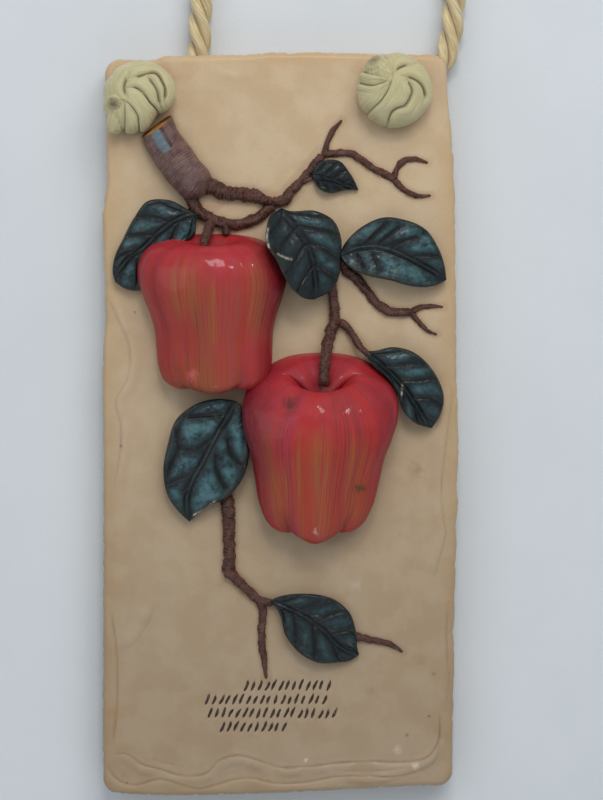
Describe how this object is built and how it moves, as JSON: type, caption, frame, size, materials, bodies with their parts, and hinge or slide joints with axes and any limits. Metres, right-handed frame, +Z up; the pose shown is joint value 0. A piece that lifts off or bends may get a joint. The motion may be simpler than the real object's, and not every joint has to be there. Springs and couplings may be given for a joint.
{
  "type": "decorative wall plaque",
  "caption": "Upright cast wall plaque with two painted fruits, leaves and twigs in relief, hung by a knotted twisted rope.",
  "frame": {"origin": "centre of the flat back, which lies against the wall", "axes": "+Y into the wall, -Y towards the viewer, +Z up along the plaque, +X to the viewer's right"},
  "size_m": [0.1218, 0.031, 0.3296],
  "materials": {
    "cast_slab": "waxy cream cast resin, satin",
    "fruit_paint": "glossy carmine paint brushed with ochre over the casting",
    "leaf_paint": "semi-gloss blackish green paint, dry-brushed with teal",
    "twig_paint": "satin reddish brown paint with dark rings",
    "cut_wood_paint": "ochre paint on the branch's cut end",
    "stroke_paint": "dark brown paint in shallow strokes",
    "rope": "silky straw-coloured twisted rope",
    "knot_cord": "silky greenish straw rope strands, pulled tight"
  },
  "bodies": {
    "root": {"plaque": "cast_slab", "hanging_rope": "rope", "knot_left": "knot_cord", "knot_right": "knot_cord"}
  },
  "joints": []
}
